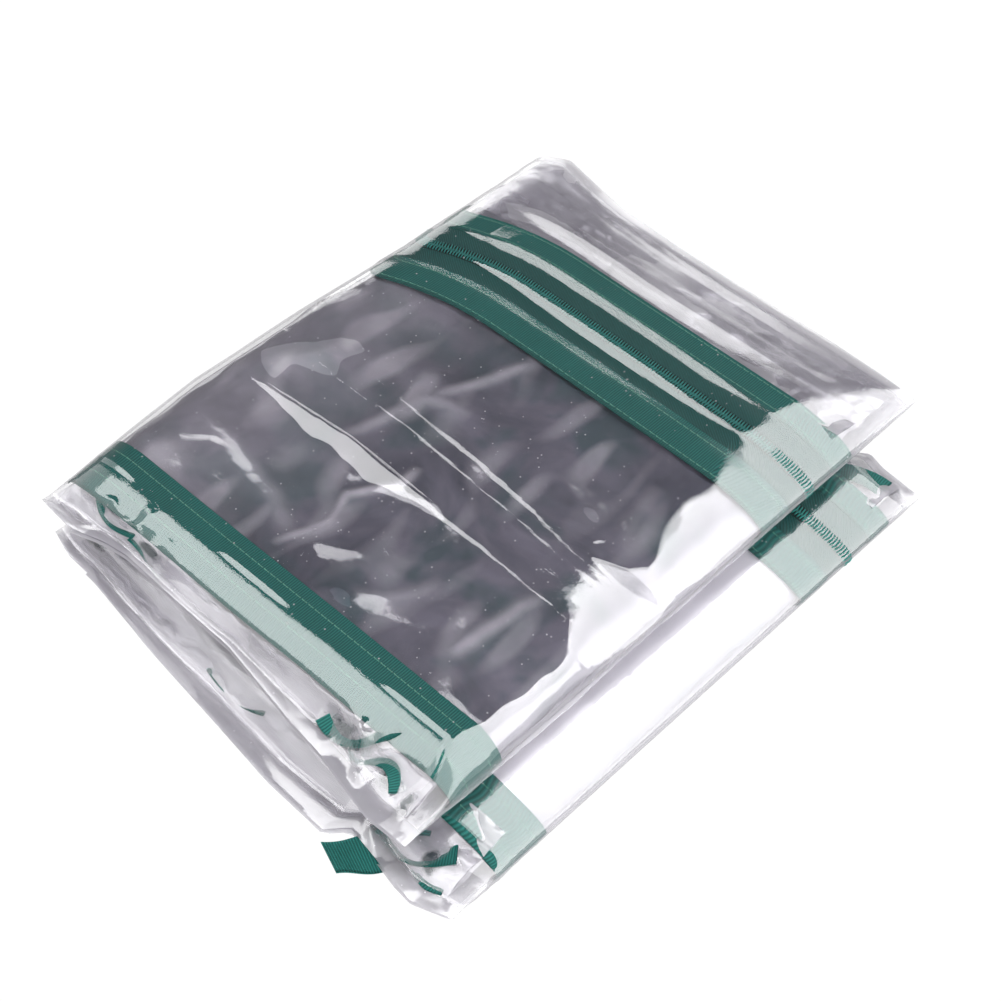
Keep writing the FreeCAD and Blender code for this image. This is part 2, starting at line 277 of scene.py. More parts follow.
def channel_share(x, y):
    """1 in the channel that the zip of the two inner leaves lies in, so that it clears the slider."""
    wide = smooth(y, ZIP_Y - 22, ZIP_Y - 13) * (1 - smooth(y, ZIP_Y + 13, ZIP_Y + 22))
    return wide * smooth(x, -138, -130) * (1 - smooth(x, 82, 94))


def half_of(packet, upper_side):
    """Leaf, body and outward direction of one half of a packet."""
    number = 0 if upper_side else 1
    return packet["leaves"][number], packet["bodies"][number], 1 - 2 * number


def skin(packet, path, y, lift):
    """Points of a packet's skin for every section step and every y; lift is outward, in mm."""
    x_flat, reach, factor = (column[:, None] for column in path.T[:3])
    x = x_flat + nose_shift(packet, path, y)
    y = y[None, :]
    nose = reach > 0
    x = x + np.where(nose, reach / NOSE_REACH * (nose_reach(packet, y) + 0.9 * lift),
                     reach * (1 + 0.9 * lift / SPINE_REACH))
    deep = np.clip((-1.8 - lift) / 0.6, 0, 1)
    lift = lift - inner_side(packet, factor) * channel_share(x, y) * (CHANNEL_DEPTH + CHANNEL_EXTRA * deep)
    height = np.maximum(packet["height"] * end_profile(packet, x, y) + lift, FOLD_GAP + 0.1)
    away = np.sign(factor) * (FOLD_GAP + np.abs(factor) * (height - FOLD_GAP))
    rise = np.where(nose, factor * height, away)
    x, y = lay_out(packet, x, y + 0 * x)
    return grid_points(x, y, packet["plane"] + rise)


# ---- meshes


def grid_points(x, y, z):
    return np.stack(np.broadcast_arrays(x, y, z), axis=-1)


def arc_length(line):
    """Distance along a line from its first point, at each of its points."""
    return np.concatenate([[0], np.cumsum(np.linalg.norm(np.diff(line, axis=0), axis=1))])


def unit(vectors):
    return vectors / np.linalg.norm(vectors, axis=1)[:, None]


def tube_faces(index):
    """Faces round a tube whose rings are the rows of index."""
    a, b = index[:-1], index[1:]
    return np.stack([a, b, np.roll(b, -1, 1), np.roll(a, -1, 1)], axis=-1).reshape(-1, 4)


def grid_faces(rows, columns, start=0, flip=False):
    index = np.arange(rows * columns).reshape(rows, columns) + start
    a, b, c, d = index[:-1, :-1], index[1:, :-1], index[1:, 1:], index[:-1, 1:]
    quads = np.stack([a, d, c, b] if flip else [a, b, c, d], axis=-1)
    return quads.reshape(-1, 4)


def make_object(name, points, faces, fields=None):
    """Mesh object from points in millimetres; fields are named values on its points."""
    mesh = bpy.data.meshes.new(name)
    mesh.from_pydata((points * MM).tolist(), [], [list(map(int, face)) for face in faces])
    mesh.polygons.foreach_set("use_smooth", np.ones(len(mesh.polygons), dtype=bool))
    for field, values in (fields or {}).items():
        attribute = mesh.attributes.new(field, "FLOAT", "POINT")
        attribute.data.foreach_set("value", np.ascontiguousarray(values, dtype=np.float32).ravel())
    mesh.update()
    obj = bpy.data.objects.new(name, mesh)
    bpy.context.scene.collection.objects.link(obj)
    return obj


def sheet_object(name, grid, fields=None):
    rows, columns = grid.shape[:2]
    return make_object(name, grid.reshape(-1, 3), grid_faces(rows, columns), fields)


def slab_object(name, top, bottom, fields=None):
    """Closed solid between two grids of the same size."""
    rows, columns = top.shape[:2]
    count = rows * columns
    index = np.arange(count).reshape(rows, columns)
    faces = [grid_faces(rows, columns), grid_faces(rows, columns, count, True)]
    rims = [index[0, ::-1], index[-1, :], index[:, 0], index[::-1, -1]]
    for rim in rims:
        a, b = rim[:-1], rim[1:]
        faces.append(np.stack([a, b, b + count, a + count], axis=-1))
    points = np.concatenate([top.reshape(-1, 3), bottom.reshape(-1, 3)])
    doubled = {key: np.concatenate([np.ravel(v), np.ravel(v)]) for key, v in (fields or {}).items()}
    return make_object(name, points, np.concatenate(faces), doubled)


# ---- materials


def new_material(name):
    material = bpy.data.materials.new(name)
    material.use_nodes = True
    tree = material.node_tree
    tree.nodes.clear()
    return material, tree


def add(tree, kind, **settings):
    node = tree.nodes.new(kind)
    for key, value in settings.items():
        if key in node.inputs:
            node.inputs[key].default_value = value
        else:
            setattr(node, key, value)
    return node


def math_node(tree, operation, first, second=None, clamp=False):
    node = tree.nodes.new("ShaderNodeMath")
    node.operation = operation
    node.use_clamp = clamp
    for socket, value in zip(node.inputs, (first, second)):
        if isinstance(value, (int, float)):
            socket.default_value = value
        elif value is not None:
            tree.links.new(value, socket)
    return node.outputs[0]


def plus(tree, first, second, clamp=False):
    return math_node(tree, "ADD", first, second, clamp)


def times(tree, first, second, clamp=False):
    return math_node(tree, "MULTIPLY", first, second, clamp)


def wave(tree, value, period):
    """Sine wave between 0 and 1."""
    turn = times(tree, value, 2 * math.pi / period)
    return plus(tree, times(tree, math_node(tree, "SINE", turn), 0.5), 0.5)


def feed(tree, value, socket):
    """Sets a socket to a value, or links it to another socket."""
    if hasattr(value, "is_linked"):
        tree.links.new(value, socket)
    else:
        socket.default_value = value


def colour_mix(tree, factor, first, second):
    """Mix of two colours; each argument is a value or a socket."""
    node = tree.nodes.new("ShaderNodeMix")
    node.data_type = "RGBA"
    feed(tree, factor, node.inputs[0])
    for index, value in ((6, first), (7, second)):
        feed(tree, (*value, 1.0) if isinstance(value, tuple) else value, node.inputs[index])
    return node.outputs[2]


def shader_mix(tree, share, first, second):
    node = add(tree, "ShaderNodeMixShader")
    feed(tree, share, node.inputs[0])
    tree.links.new(first.outputs[0], node.inputs[1])
    tree.links.new(second.outputs[0], node.inputs[2])
    return node


def surface(tree, shader):
    """Makes a shader node the material's surface."""
    output = tree.nodes.new("ShaderNodeOutputMaterial")
    tree.links.new(shader.outputs[0], output.inputs["Surface"])


def noise(tree, vector, scale, detail=3.0, roughness=0.5, distortion=0.0):
    node = tree.nodes.new("ShaderNodeTexNoise")
    node.inputs["Scale"].default_value = scale
    node.inputs["Detail"].default_value = detail
    node.inputs["Roughness"].default_value = roughness
    node.inputs["Distortion"].default_value = distortion
    tree.links.new(vector, node.inputs["Vector"])
    return node.outputs["Fac"]


def ramp(tree, value, stops):
    node = tree.nodes.new("ShaderNodeValToRGB")
    elements = node.color_ramp.elements
    while len(elements) < len(stops):
        elements.new(0.5)
    for element, (position, shade) in zip(elements, stops):
        element.position = position
        element.color = (shade, shade, shade, 1.0) if isinstance(shade, (int, float)) else (*shade, 1.0)
    tree.links.new(value, node.inputs["Fac"])
    return node.outputs["Color"]


def bump(tree, height, strength, distance, normal=None):
    node = tree.nodes.new("ShaderNodeBump")
    node.inputs["Strength"].default_value = strength
    node.inputs["Distance"].default_value = distance
    tree.links.new(height, node.inputs["Height"])
    if normal is not None:
        tree.links.new(normal, node.inputs["Normal"])
    return node.outputs["Normal"]


def field(tree, name):
    return add(tree, "ShaderNodeAttribute", attribute_name=name).outputs["Fac"]


def place(tree):
    return tree.nodes.new("ShaderNodeTexCoord").outputs["Object"]


MILK = (0.72, 0.71, 0.74, 1.0)


def film_material(name, tint, roughness, haze, wrinkle, reflectance=0.085, dust=0.0, grain=0.18):
    """Thin clear PVC: what lies behind shows through it, under the gloss of its two surfaces.

    The field soft blurs its gloss, matt takes the gloss away, and milk clouds the film.
    """
    material, tree = new_material(name)
    where = place(tree)
    broad = noise(tree, where, 26.0, 2.0)
    height = plus(tree, times(tree, noise(tree, where, 90.0, 2.0), 0.25), broad)
    peel = noise(tree, where, 1100.0, 2.0)
    normal = bump(tree, peel, grain, 0.0002, bump(tree, height, wrinkle, 0.002))
    weight = add(tree, "ShaderNodeLayerWeight", Blend=0.5)
    tree.links.new(normal, weight.inputs["Normal"])
    grazing = math_node(tree, "POWER", weight.outputs["Facing"], 4.0)
    gloss_share = plus(tree, times(tree, grazing, 1.0 - reflectance), reflectance, clamp=True)
    gloss_share = times(tree, gloss_share, math_node(tree, "SUBTRACT", 1.0, field(tree, "matt")))
    clear = add(tree, "ShaderNodeBsdfTransparent", Color=(*tint, 1.0))
    gloss = add(tree, "ShaderNodeBsdfGlossy")
    spread = times(tree, field(tree, "soft"), times(tree, broad, 0.28))
    tree.links.new(plus(tree, spread, roughness), gloss.inputs["Roughness"])
    tree.links.new(normal, gloss.inputs["Normal"])
    milky = add(tree, "ShaderNodeBsdfTranslucent", Color=MILK)
    cloud = shader_mix(tree, 0.5, milky, add(tree, "ShaderNodeBsdfDiffuse", Color=MILK))
    haze_share = times(tree, noise(tree, where, 14.0, 3.0), 2.0 * haze)
    haze_share = plus(tree, haze_share, field(tree, "milk"), clamp=True)
    if dust:
        cells = add(tree, "ShaderNodeTexVoronoi", Scale=240.0)
        tree.links.new(where, cells.inputs["Vector"])
        speck = math_node(tree, "LESS_THAN", cells.outputs["Distance"], 0.095)
        pick = math_node(tree, "GREATER_THAN", noise(tree, where, 60.0, 1.0), 0.5)
        speck = times(tree, speck, pick)
        haze_share = plus(tree, haze_share, times(tree, speck, dust), clamp=True)
    surface(tree, shader_mix(tree, gloss_share, shader_mix(tree, haze_share, clear, cloud), gloss))
    return material


def principled(tree, colour, roughness, normal, **settings):
    node = add(tree, "ShaderNodeBsdfPrincipled", **settings)
    feed(tree, colour, node.inputs["Base Color"])
    feed(tree, roughness, node.inputs["Roughness"])
    tree.links.new(normal, node.inputs["Normal"])
    surface(tree, node)


RIB_PITCH = 1.25
YARN_PITCH = 0.55
SLIT = 4.0                      # half width of the shade under the zip's coils
SLIT_SHADE = (0.001, 0.008, 0.008)


def woven_material(name, dark, light, pitch, twill=0.0, slit=None):
    """Ribbed tape: ribs across its width, each built of fine yarns, from the fields along and across.

    The colour runs from dark in the grooves between ribs and yarns to light on their crests, a painted shade,
    with random tone from noise on top. slit is where across the tape it sinks away under the zip's coils,
    painted in shade.
    """
    material, tree = new_material(name)
    along = field(tree, "along")
    across = field(tree, "across")
    slanted = plus(tree, along, times(tree, across, twill))
    rib = wave(tree, slanted, pitch)
    yarn = wave(tree, across, YARN_PITCH)
    where = place(tree)
    # Painted shade: darker in the grooves between ribs and yarns, lighter on their crests; the noise adds the
    # tape's own random tone.
    shade = times(tree, rib, 0.72)
    for part, share in ((noise(tree, where, 1400.0, 2.0), 0.2), (noise(tree, where, 45.0, 2.0), 0.22)):
        shade = plus(tree, shade, times(tree, part, share))
    shade = plus(tree, shade, times(tree, yarn, 0.1), clamp=True)
    colour = colour_mix(tree, shade, dark, light)
    if slit is not None:
        off = math_node(tree, "ABSOLUTE", math_node(tree, "SUBTRACT", across, slit))
        colour = colour_mix(tree, math_node(tree, "LESS_THAN", off, SLIT), colour, SLIT_SHADE)
    height = plus(tree, rib, times(tree, yarn, 0.25))
    normal = bump(tree, height, 0.6, 0.0003)
    principled(tree, colour, 0.75, normal, **{"Specular IOR Level": 0.1})
    return material


def plies_material():
    """Crumpled plies in the mass: slate, violet and dark teal, with pale folds where haze is 1 and a light
    colour where pale is 1; on the upper nose that light colour is painted light under its white reflection,
    and on the lower packet past the upper nose it is lowered as painted shade.
    """
    material, tree = new_material("folded_plies")
    where = place(tree)
    cloud = noise(tree, where, 17.0, 4.0, 0.6, 0.6)
    teal = noise(tree, where, 23.0, 3.0, 0.55, 0.3)
    slate, violet, dark_teal = (0.062, 0.063, 0.088), (0.200, 0.188, 0.235), (0.035, 0.070, 0.082)
    base = colour_mix(tree, ramp(tree, cloud, [(0.36, 0.0), (0.66, 1.0)]), slate, violet)
    base = colour_mix(tree, ramp(tree, teal, [(0.48, 0.0), (0.62, 0.85)]), base, dark_teal)
    torn = times(tree, field(tree, "haze"), plus(tree, noise(tree, where, 60.0, 3.0), 0.4), clamp=True)
    colour = colour_mix(tree, torn, base, (0.55, 0.53, 0.57))
    mottle = ramp(tree, noise(tree, where, 38.0, 3.0), [(0.35, 0.0), (0.65, 1.0)])
    light = colour_mix(tree, mottle, (0.80, 0.79, 0.82), (0.88, 0.87, 0.90))
    colour = colour_mix(tree, field(tree, "pale"), colour, light)
    normal = bump(tree, noise(tree, where, 50.0, 3.0), 0.3, 0.002)
    principled(tree, colour, 0.42, normal, **{"Specular IOR Level": 0.25})
    return material


def stretched(tree, where, scale):
    node = add(tree, "ShaderNodeVectorMath", operation="MULTIPLY")
    tree.links.new(where, node.inputs[0])
    node.inputs[1].default_value = scale
    return node.outputs[0]


def end_plies_material():
    """Several crumpled clear plies together: lilac grey, streaked, and painted near black with shade in the
    hollows between their folds.
    """
    material, tree = new_material("end_plies")
    where = place(tree)
    streak = noise(tree, stretched(tree, where, (0.22, 1.0, 1.0)), 130.0, 3.0, 0.6, 0.4)
    broad = noise(tree, stretched(tree, where, (0.5, 1.0, 1.0)), 30.0, 2.0)
    mixed = plus(tree, times(tree, streak, 0.6), times(tree, broad, 0.4))
    greys = [(0.36, (0.56, 0.55, 0.58)), (0.5, (0.66, 0.65, 0.68)), (0.66, (0.76, 0.75, 0.78))]
    colour = ramp(tree, mixed, greys)
    # Painted shade: where the field marks a hollow between folds, the plies are painted near black and made
    # opaque.
    ragged = plus(tree, noise(tree, where, 170.0, 3.0, 0.6), 0.25)
    hollow_shade = ramp(tree, times(tree, field(tree, "hollow_shade"), ragged), [(0.30, 0.0), (0.55, 1.0)])
    colour = colour_mix(tree, hollow_shade, colour, (0.030, 0.042, 0.050))
    normal = bump(tree, mixed, 0.5, 0.002)
    solid = add(tree, "ShaderNodeBsdfDiffuse")
    tree.links.new(colour, solid.inputs["Color"])
    tree.links.new(normal, solid.inputs["Normal"])
    clear = add(tree, "ShaderNodeBsdfTransparent", Color=(0.86, 0.85, 0.88, 1.0))
    gloss = add(tree, "ShaderNodeBsdfGlossy", Roughness=0.12)
    tree.links.new(normal, gloss.inputs["Normal"])
    density = ramp(tree, broad, [(0.35, 0.30), (0.65, 0.75)])
    density = math_node(tree, "MAXIMUM", density, times(tree, hollow_shade, 0.9))
    surface(tree, shader_mix(tree, 0.06, shader_mix(tree, density, clear, solid), gloss))
    return material


def plain_material(name, colour, roughness, metallic=0.0, specular=0.5):
    material, tree = new_material(name)
    where = place(tree)
    dark, light = (tuple(share * value for value in colour) for share in (0.75, 1.25))
    mixed = colour_mix(tree, noise(tree, where, 300.0, 2.0), dark, light)
    normal = bump(tree, noise(tree, where, 900.0, 2.0), 0.15, 0.0002)
    principled(tree, mixed, roughness, normal, Metallic=metallic, **{"Specular IOR Level": specular})
    return material


FILM = film_material("clear_film", (0.940, 0.935, 0.948), 0.04, 0.008, 0.18, dust=0.6)
INNER_FILM = film_material("inner_film", (0.900, 0.895, 0.912), 0.10, 0.03, 0.5, 0.10, grain=0.0)
TAPE = woven_material("binding_tape", (0.002, 0.034, 0.031), (0.016, 0.150, 0.130), RIB_PITCH)
ZIP_TAPE = woven_material("zip_tape", (0.001, 0.026, 0.024), (0.012, 0.095, 0.085), 0.9, 0.6, ZIP_Y)
PLIES = plies_material()
END_PLIES = end_plies_material()
COIL = plain_material("zip_coil", (0.024, 0.180, 0.158), 0.5, specular=0.08)
THREAD = plain_material("stitch_thread", (0.06, 0.27, 0.18), 0.7)
SLIDER = plain_material("slider_paint", (0.012, 0.10, 0.075), 0.3, 0.6)

# ---- wrinkles

# Folds of the panel film: crest as (x, y), width of the slope below it as (x, width), and slope
FOLDS = [
    ([(-133, -42), (-112, -42), (-57, -38), (-12, -39), (49, -41), (97, -44), (112, -46)],
     [(-128, 0), (-110, 3), (-83, 8), (-45, 12), (-22, 9), (0, 3.5), (60, 3), (110, 1.5)], 0.22),
    ([(-132, -10), (-82, -14), (-44, -12), (2, -15), (38, -17), (61, -19), (96, -21)],
     [(-132, 0), (-110, 2.2), (-40, 2.6), (30, 2.4), (70, 3.0), (96, 0)], 0.20),
    ([(-133, -6), (-105, 0), (-73, -1), (-38, -3), (-4, -4), (36, -8), (82, -16), (101, -21), (120, -27)],
     [(-132, 0), (-110, 1.6), (-70, 2.4), (-20, 4.0), (36, 4.0), (80, 2.4), (118, 0)], 0.20),
]
# Pleats along the zip: crest, how they widen as (x, share), width and height.
# Their y is measured as if the zip's strips were straight.
ZIP_PLEATS = [
    (ZIP_Y + 15.0, [(-128, 0), (-95, 1), (40, 0.95), (84, 0)], 6.6, 2.0),
    (ZIP_Y - 16.0, [(-134, 0.6), (-90, 1), (0, 0.9), (60, 0)], 6.0, 1.3),
]
PLEATS_END, PLEATS_FALL = ZIP_Y + 15.5, 30.0
ZIP_RIDGE_X = (-106.0, 84.0)
# Small ridges that catch the light: line, width and height
GLINTS = [
    ([(-114, -92), (-102, -80), (-88, -78)], 4.0, 0.9),
    ([(-8, -67), (6, -72), (18, -75)], 4.0, 0.7),
    ([(52, -28), (70, -27), (84, -33)], 4.5, 0.8),
    ([(40, 0), (58, 3), (70, -4)], 6.0, 1.1),
    ([(74, -50), (90, -58)], 4.0, 0.8),
    ([(64, -106), (74, -104)], 3.0, 0.5),
]


def top_macro(s, y):
    """Low swell that the film, the tapes and the plies of the top leaf share."""
    middle = smooth(y, -150, -110) * (1 - smooth(y, 140, 170))
    return 0.35 * ripple(s, y, 190, 150, 11) * middle


def ridge(distance, width):
    return np.exp(-(distance / width) ** 2)


def fold(s, y, crest, widths, slope):
    """Slope that climbs to a sharp crest and drops behind it."""
    beyond = y - follow(crest, s)
    width = np.maximum(follow(widths, s), 0.05)
    height = slope * width
    wavy = 1 + 0.12 * np.sin(s / 7.0) + 0.08 * np.sin(s / 3.1)
    climb = np.clip(1 + beyond / (width * wavy), 0, 1)
    return height * np.where(beyond < 0, climb, ridge(beyond, 0.9))


def pleat(y, crest, share, width, height):
    """Slope of the given width up to a crest, level from there on, then slowly down past the last pleat."""
    climb = np.clip(1 + (y - crest) / (width * share + 0.05), 0, 1)
    return height * share * climb * (1 - np.clip((y - PLEATS_END) / PLEATS_FALL, 0, 1))


def crossing_lines(s, y, places, start, end):
    """Fine creases that run over the nose at the given y."""
    total = 0.0
    for place_y, height, width in places:
        wander = place_y + 1.2 * np.sin(s / 9.0 + place_y)
        line = height * ridge(y - wander, width)
        total = total + line * smooth(s, start, start + 12) * (1 - smooth(s, end - 8, end))
    return total


# Creases over the noses: y, height and width
TOP_LINES = [(-24, 0.7, 0.8), (-34, -0.5, 1.0), (-41, 0.4, 0.7), (-52, 0.3, 0.7), (-118, 0.3, 0.6),
             (-127, 0.4, 0.7), (20, 0.3, 1.0), (137, 0.5, 0.9), (148, -0.5, 1.0)]
LOWER_LINES = [(-31, 0.8, 0.9), (-42, 0.5, 0.8), (-88, 0.5, 0.7), (-96, 0.4, 0.6), (-120, 0.5, 0.7),
               (-131, 0.7, 1.2), (38, 0.5, 1.0), (-8, -0.5, 1.4), (106, 0.4, 0.8)]
FRONT_CURVE = [(97, -128), (103, -138), (106, -147), (109, -156), (113, -168)]
POCKETS = [(-104, -138), (-88, -143), (-74, -146), (52, -152), (66, -149), (84, -155)]


def pocket_field(s, y):
    """1 in the crumpled pockets of the left end, 0 elsewhere."""
    total = 0.0
    for pocket_s, pocket_y in POCKETS:
        total = np.maximum(total, np.exp(-((s - pocket_s) / 11.0) ** 2 - ((y - pocket_y) / 7.5) ** 2))
    return total


def top_detail(s, y):
    """Wrinkles of the outer film of the upper packet, in mm."""
    panel = smooth(y, SEAM[1] - 10, SEAM[1] + 10) * (1 - smooth(y, DOOR[0], DOOR[1]))
    left = 1 - smooth(y, SEAM[0] - 12, SEAM[0] + 2)
    right = smooth(y, SURROUND[1] - 4, SURROUND[1] + 14)
    zip_line = y + bend_shift(s)
    total = 0.14 * ripple(s, y, 60, 40, 3) * (0.5 + 0.5 * panel)
    total = total + 0.13 * crumple(s, y, 24, 0.16, 7, 1.6) * panel * (1 - smooth(s, 70, 95))
    for points, width, height in GLINTS:
        total = total + height * line_field(s, y, points, width)
    for crest, widths, slope in FOLDS:
        total = total + fold(s, y, crest, widths, slope)
    edge = y - SEAM[1] - 2.6 - 0.8 * np.sin(s / 11.0)
    teeth = 0.22 * np.sin(s / 2.6 + 2.5 * ripple(s, y, 60, 60, 5))
    total = total + teeth * ridge(edge, 1.9) * ridge(s + 20, 85)
    mid = 0.5 * sum(ZIP_RIDGE_X)
    half = 0.5 * (ZIP_RIDGE_X[1] - ZIP_RIDGE_X[0])
    lens = np.clip(1 - ((s - mid) / half) ** 2, 0, 1) ** 0.6
    total = total + pleat(zip_line, ZIP_Y - 3.6, lens, 7.4, 2.2)
    for crest, shares, width, height in ZIP_PLEATS:
        total = total + pleat(zip_line, crest, follow(shares, s), width, height)
    total = total + right * (0.20 * ripple(s, y, 230, 17, 17) + 0.045 * ripple(s, y, 110, 7, 18)
                             + crumple(s, y, 28, 0.045, 19, 3.0))
    rough = smooth(-s, 80, 105) + smooth(s, 52, 80) * (1 - smooth(s, 118, 140))
    total = total + left * (0.26 * ripple(s, y, 240, 12, 25) + 0.3 * crumple(s, y, 15, 0.25, 23, 4.0)
                            + rough * (crumple(s, y, 15, 0.36, 26, 1.4) + crumple(s, y, 7, 0.2, 24, 1.2)))
    total = total + pocket_field(s, y) * crumple(s, y, 10, 0.9, 27, 1.2)
    total = total - 1.1 * line_field(s, y, FRONT_CURVE, 1.2, 6.0)
    total = total + crossing_lines(s, y, TOP_LINES, 92, 150)
    return np.maximum(total, -0.35 - 3.0 * left - 1.2 * right - 0.8 * smooth(s, 90, 100))


def lower_detail(s, y):
    left = 1 - smooth(y, SEAM[0] - 4, SEAM[0] + 12)
    right = smooth(y, SURROUND[1] - 8, SURROUND[1] + 8)
    total = 0.12 * ripple(s, y, 60, 50, 33)
    total = total + right * crumple(s, y, 20, 0.35, 35, 1.3)
    front = smooth(s, 60, 90)
    total = total + left * (0.28 * ripple(s, y, 240, 11, 38) + crumple(s, y, 15, 0.2, 36, 3.5)
                            + front * (crumple(s, y, 14, 0.45, 39, 1.2) + crumple(s, y, 6, 0.3, 37)))
    total = total + crossing_lines(s, y, LOWER_LINES, 96, 190)
    return np.maximum(total, -0.5 - 2.5 * left - 1.5 * right)


# ---- outer films


def at_nose(obj):
    """Bakes the placement of a piece that goes round a packet's nose into its mesh; the piece is attached to
    neither leaf.
    """
    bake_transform(obj)


def wrap_film(packet, name, material, detail, macro, depth, steps, y_step):
    path = section_path(packet, steps)
    low, high = packet["ends"]
    y = np.linspace(low, high, int((high - low) / y_step) + 1)
    s = unrolled(packet, path, y)
    over = np.clip(path[:, 2], 0, 1)[:, None] ** 0.5
    lift = (detail(s, y[None, :]) + macro(s, y[None, :]) * over) * (0.25 + 0.75 * over) - depth
    soft = (1 - smooth(y, SEAM[0] - 8, SEAM[0] + 2)) + 0.8 * smooth(y, SURROUND[1] + 2, SURROUND[1] + 14)
    if packet is UPPER and not depth:
        zip_line = y[None, :] + bend_shift(s)
        soft = soft[None, :] + 0.8 * ridge(zip_line - ZIP_Y - 11, 5.0)
        soft = soft + 1.3 * ridge(zip_line - ZIP_Y + 19, 5.0)
    turn = packet["nose"] - (1 - ROLL_SEEN) * nose_reach(packet, y[None, :])
    matt = 0.85 * smooth(s, turn - 12, turn + 4) if depth else 0 * s
    reach, factor = path[:, 1][:, None], path[:, 2][:, None]
    milk = 0.60 * (1 - smooth(np.minimum(y - low, high - y), 1.0, 13.0))[None, :]
    milk = np.maximum(milk, 0.55 * smooth(-factor, -0.45, 0.15) * (reach > 0))
    milk = np.maximum(milk, 0.45 * smooth(-reach, 0.35 * SPINE_REACH, SPINE_REACH))
    fields = {"soft": soft + 0 * s, "matt": matt, "milk": milk + 0 * s}
    obj = sheet_object(packet["name"] + "_" + name, skin(packet, path, y, lift), fields)
    obj.data.materials.append(material)
    at_nose(obj)
    return obj


def no_macro(s, y):
    return np.zeros(np.broadcast(s, y).shape)


# Pale soft folds under the top film: line, width and strength
STREAKS = [
    ([(-40, -104), (-34, -88), (-31, -76), (-37, -60), (-28, -48), (-22, -40), (-23, -25)], 2.6, 0.9),
    ([(64, -94), (66, -78), (68, -53), (72, -41)], 4.0, 0.95),
    ([(-64, -38), (-58, -14), (-55, 6), (-42, 12), (-28, 14)], 3.6, 0.7),
    ([(-52, 8), (-40, 34), (-29, 64)], 3.4, 0.7),
    ([(-110, -70), (-84, -78), (-60, -84), (-36, -96)], 5.0, 0.5),
    ([(-118, -30), (-104, 0), (-96, 24)], 7.0, 0.45),
    ([(10, -100), (26, -84), (34, -66)], 4.0, 0.5),
    ([(84, 0), (70, 22), (66, 44)], 5.0, 0.35),
]


def inner_detail(s, y):
    """The second wall ply hangs loose under the first."""
    total = 0.5 * ripple(s, y, 55, 40, 71) + crumple(s, y, 30, 0.14, 72, 1.5)
    for points, width, strength in STREAKS:
        total = total + 1.1 * strength * line_field(s, y, points, width)
    return np.clip(total, -1.2, 1.0)


FINE = {"spine": 12, "top": 170, "nose": 60, "under": 50}
COARSE = {"spine": 8, "top": 100, "nose": 32, "under": 40}
UPPER_FILM = wrap_film(UPPER, "wrap_film", FILM, top_detail, top_macro, 0.0, FINE, 1.15)
LOWER_FILM = wrap_film(LOWER, "wrap_film", FILM, lower_detail, no_macro, 0.0, FINE, 1.3)
wrap_film(UPPER, "second_film", INNER_FILM, inner_detail, top_macro, 2.4, COARSE, 2.4)
wrap_film(LOWER, "second_film", INNER_FILM, inner_detail, no_macro, 2.4, COARSE, 2.4)


def packet_nodes(packet, pieces):
    return [leaf + "_" + piece for leaf in packet["leaves"] for piece in pieces]


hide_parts(*packet_nodes(UPPER, ("left_wall", "door_panel", "right_wall")))
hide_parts(*packet_nodes(LOWER, ("left_wall", "door_panel", "right_wall")))

# ---- bindings and zip tapes

TAPE_THICKNESS = 0.5


def binding(packet, piece, low, high, depth, material, slot, bent, macro):
    """Tape that lies against the inside of a packet's film, all round from spine to spine."""
    path = section_path(packet, {"spine": 10, "top": 120, "nose": 40, "under": 90})
    across = np.linspace(low, high, max(4, int((high - low) / 2.5) + 1))
    s = unrolled(packet, path, across)
    over = np.clip(path[:, 2], 0, 1)[:, None]
    y = across[None, :] + 0 * s
    swing = bend_shift(path[:, 0] + path[:, 1])[:, None] * over if bent else 0.0 * s
    layers = []
    for extra in (0.0, TAPE_THICKNESS):
        lift = -depth - extra + macro(s, y) * over
        grid = skin(packet, path, across, lift)
        grid[..., 1] -= swing
        layers.append(grid)
    fields = {"along": np.broadcast_to(s, y.shape), "across": y}
    obj = slab_object(packet["name"] + "_" + piece, *layers, fields)
    obj.data.materials.append(material)
    at_nose(obj)
    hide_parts(*packet_nodes(packet, (piece,)))


for packet, macro in ((UPPER, top_macro), (LOWER, no_macro)):
    bent = packet is UPPER
    for piece, span in (("seam_binding", SEAM), ("door_binding", DOOR), ("surround_binding", SURROUND)):
        binding(packet, piece, *span, 0.7, TAPE, "binding", bent and span is not SEAM, macro)
    binding(packet, "zip_tapes", DOOR[1] - 3, SURROUND[0] + 3, 1.3, ZIP_TAPE, "zip_tape", bent, macro)


# ---- folded plies

PLIES_GAP = 0.35                # from the fold plane to the plies of either leaf


def plies_surface(packet, s, y, seed):
    """Uneven top of the folded plies, and how pale it is."""
    relief = 0.9 * ripple(s, y, 42, 30, seed) + crumple(s, y, 30, 0.12, seed + 1, 1.4)
    haze = 0.5 * np.clip(ripple(s, y, 24, 60, seed + 2) - 0.2, 0, 1) + 0.45 * smooth(-s, 20, 135)
    if packet is UPPER:
        for points, width, strength in STREAKS:
            streak = line_field(s, y, points, width)
            relief = relief + 1.2 * streak
            haze = np.maximum(haze, strength * streak)
    return relief, haze


